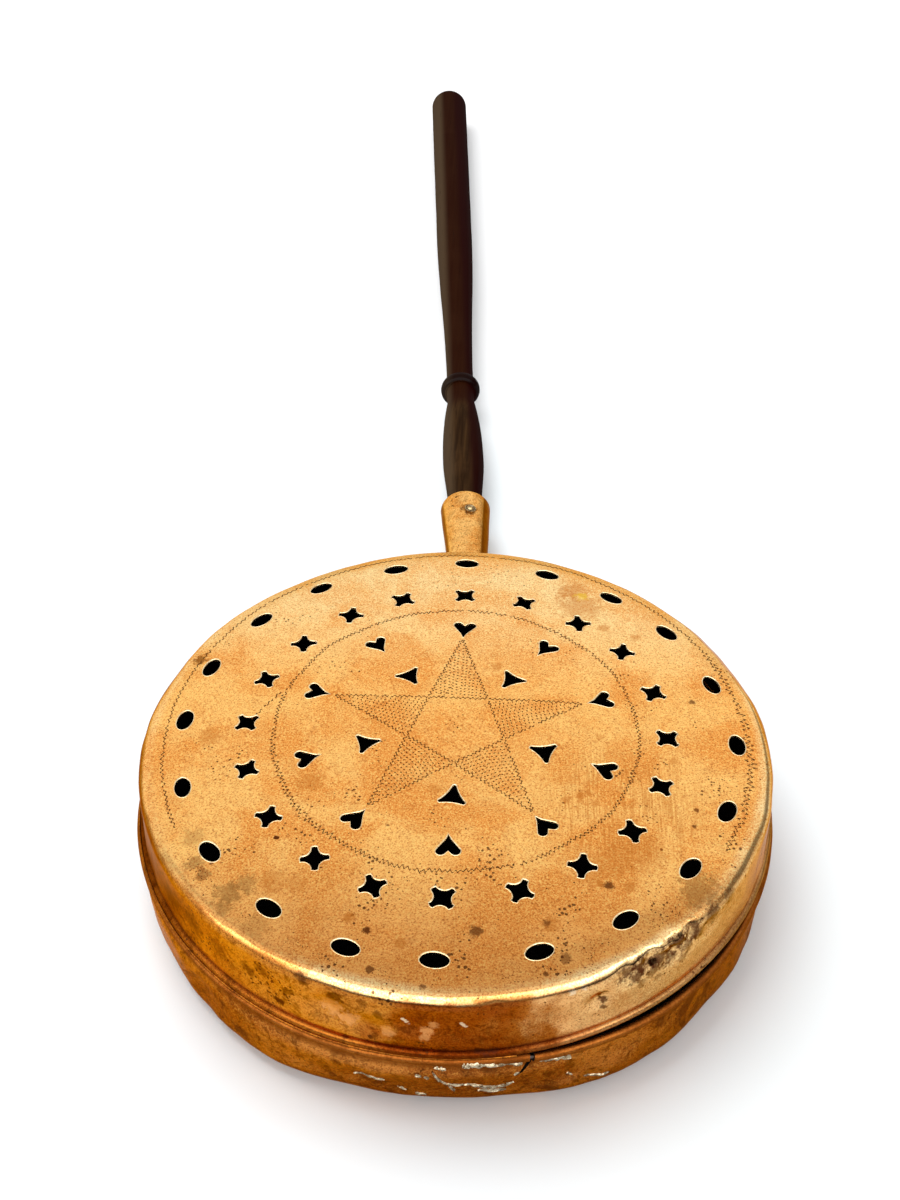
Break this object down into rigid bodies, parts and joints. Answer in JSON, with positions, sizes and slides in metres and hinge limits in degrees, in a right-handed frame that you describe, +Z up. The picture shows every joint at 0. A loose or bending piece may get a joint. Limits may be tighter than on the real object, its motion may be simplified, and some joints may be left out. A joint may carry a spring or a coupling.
{
  "type": "bed warming pan",
  "caption": "Round covered copper ember pan with a pierced hinged lid and a long turned wooden handle in a tapered socket, for warming a bed.",
  "frame": {"origin": "middle of the pan's flat base, on the ground", "axes": "+Z up out of the pan, +Y from the pan's middle to the hinge and the handle, +X to the right when the handle points away"},
  "size_m": [0.31, 1.0412, 0.084],
  "materials": {
    "copper_lid": "polished copper sheet with mottled brown tarnish",
    "copper_pan": "worn copper sheet with brown tarnish",
    "copper_socket": "satin copper sheet",
    "copper_leaf": "tarnished copper",
    "copper_rivet": "hammered copper",
    "iron": "drawn iron wire, darkened",
    "dark_wood": "turned hardwood, dark stain, satin polish",
    "nail_brass": "dull brass"
  },
  "bodies": {
    "pan_body": {"pan": "copper_pan", "pan_rim_wire": "iron", "pan_hinge_leaf": "copper_leaf", "hinge_pin": "iron", "handle_socket": "copper_socket", "handle": "dark_wood", "handle_nail": "nail_brass", "nail_washer": "nail_brass", "socket_rivet_1": "copper_rivet", "socket_rivet_2": "copper_rivet", "socket_rivet_3": "copper_rivet", "socket_rivet_4": "copper_rivet"},
    "lid_body": {"lid": "copper_lid", "lid_rim_wire": "iron", "lid_hinge_leaf": "copper_leaf", "lid_hinge_rivet_1": "copper_rivet", "lid_hinge_rivet_2": "copper_rivet", "lid_hinge_rivet_3": "copper_rivet"}
  },
  "joints": [
    {"name": "lid_hinge", "type": "hinge", "parent": "pan_body", "child": "lid_body", "pos_m": [0, 0.1594, 0.04015], "axis": [-1, 0, 0], "range_deg": [0, 117]}
  ]
}
